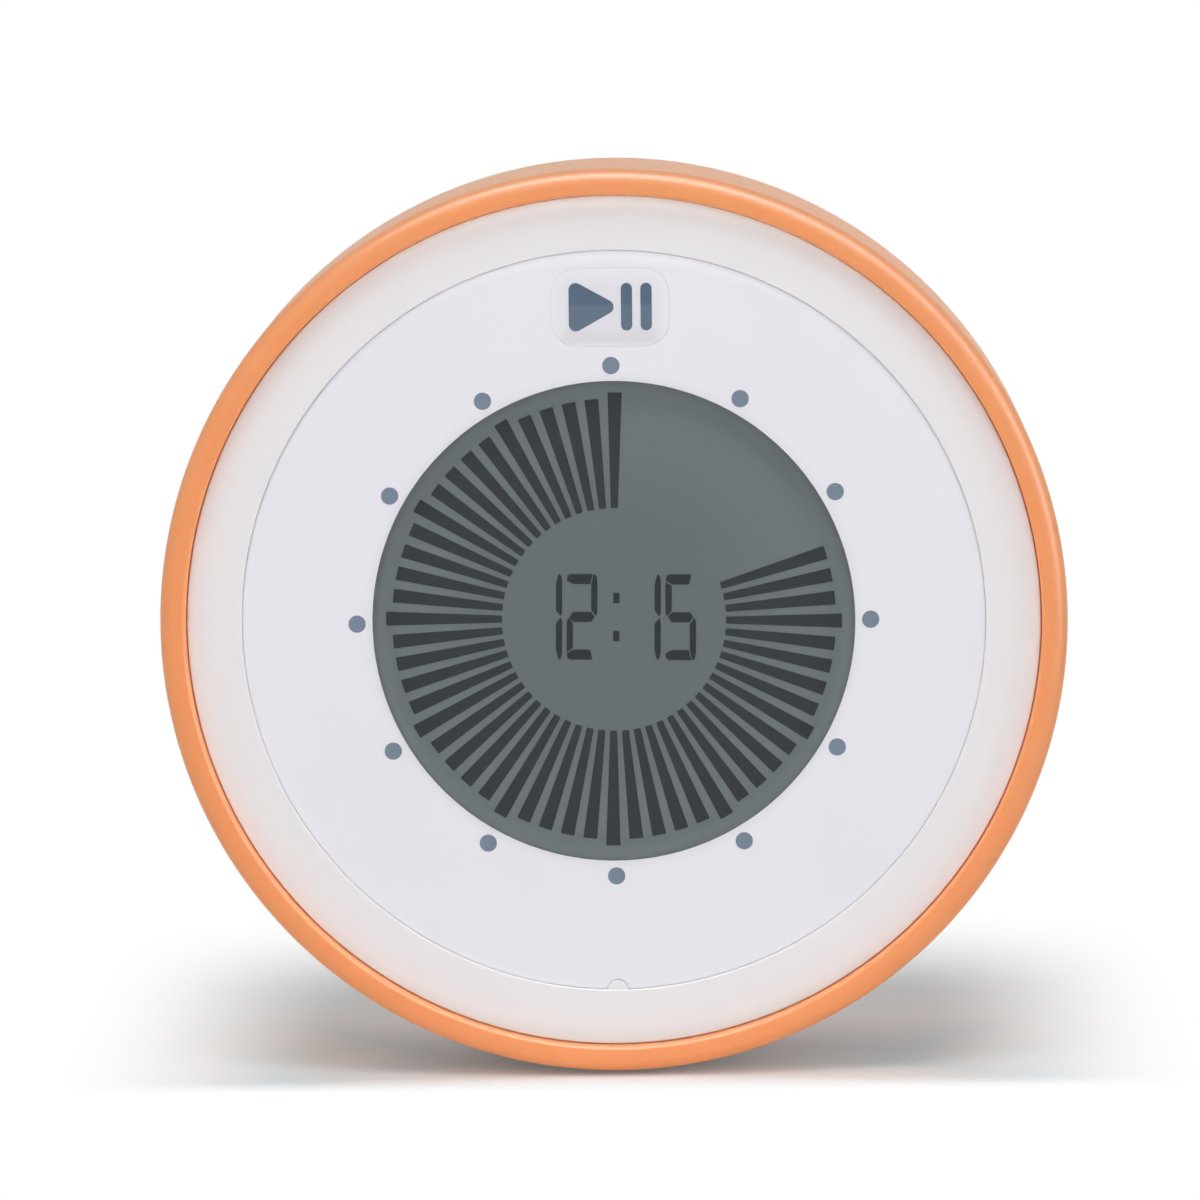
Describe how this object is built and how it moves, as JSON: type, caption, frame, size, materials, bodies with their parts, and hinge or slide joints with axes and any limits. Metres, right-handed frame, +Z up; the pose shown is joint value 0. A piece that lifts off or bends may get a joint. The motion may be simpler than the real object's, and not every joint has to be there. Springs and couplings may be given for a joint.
{
  "type": "visual countdown timer",
  "caption": "Round desk timer with an orange twist ring, a white face, a round liquid-crystal display with radial bars, a raised play and pause pad, and a magnetic back with a battery door.",
  "frame": {"origin": "on the ground under the middle of the bounding box, with the timer standing on its foot pad", "axes": "+Z up, the face looks along -Y, +X to the viewer's right"},
  "size_m": [0.086, 0.028, 0.0864],
  "materials": {
    "orange_plastic": "satin moulded",
    "white_plastic": "fine satin moulded",
    "cover_plastic": "fine spark-eroded texture",
    "clear_plastic": "polished",
    "white_ink": "printed behind the lens",
    "blue_ink": "printed behind the lens",
    "lcd_film": "grey-green polarizer",
    "lcd_dark": "dark display segments",
    "lcd_glass": "polished",
    "reflector_film": "matte foil",
    "foam": "closed-cell foam",
    "grey_rubber": "matte",
    "zebra_rubber": "silicone with carbon stripes",
    "nylon": "natural",
    "grey_plastic": "satin moulded",
    "board_green": "solder mask",
    "black_resin": "glossy drop",
    "part_bodies": "mixed board parts",
    "steel": "nickel plated",
    "cell_jacket": "plain printed jacket, nothing written on it"
  },
  "bodies": {
    "case": {"glide_washer": "nylon", "front_bezel": "white_plastic", "face_lens": "clear_plastic", "face_print": "white_ink", "face_dots": "blue_ink", "tact_switch": "grey_plastic", "lcd_polarizer": "lcd_film", "lcd_front_glass": "lcd_glass", "lcd_rear_glass": "lcd_glass", "lcd_reflector": "reflector_film", "lcd_segments": "lcd_dark", "lcd_gasket": "foam", "zebra_strips": "zebra_rubber", "mid_frame": "cover_plastic", "frame_screws": "steel", "main_pcb": "board_green", "processor": "black_resin", "board_parts": "part_bodies", "encoder_body": "grey_plastic", "buzzer": "black_resin", "sound_switch": "steel", "rear_case": "orange_plastic", "foot_pad": "grey_rubber", "rear_cover": "cover_plastic", "battery_cells": "cell_jacket", "battery_springs": "steel", "contact_plates": "steel", "magnets": "steel", "case_screws": "steel"},
    "ring": {"twist_ring": "orange_plastic", "dial_gear": "nylon"},
    "encoder": {"encoder_pinion": "nylon"},
    "play_button": {"play_pad": "clear_plastic", "pad_print": "white_ink", "play_icons": "blue_ink", "play_plunger": "nylon", "switch_stem": "black_resin"},
    "sound_slider": {"sound_knob": "grey_plastic"},
    "door": {"battery_door": "cover_plastic"}
  },
  "joints": [
    {"name": "ring_turn", "type": "hinge", "parent": "case", "child": "ring", "pos_m": [0, 0, 0.0434], "axis": [0, -1, 0], "continuous": true},
    {"name": "encoder_turn", "type": "hinge", "parent": "case", "child": "encoder", "pos_m": [0, 0, 0.01038], "axis": [0, -1, 0], "continuous": true},
    {"name": "play_press", "type": "slide", "parent": "case", "child": "play_button", "axis": [0, 1, 0], "range_m": [0, 0.0003], "stiffness_N_per_m": 3000},
    {"name": "sound_slide", "type": "slide", "parent": "case", "child": "sound_slider", "axis": [1, 0, 0], "range_m": [-0.002, 0.002]},
    {"name": "door_slide", "type": "slide", "parent": "case", "child": "door", "axis": [0, 0, -1], "range_m": [0, 0.006]}
  ],
  "couplings": [
    {"joint": "encoder_turn", "follows": "ring_turn", "ratio": 6}
  ]
}
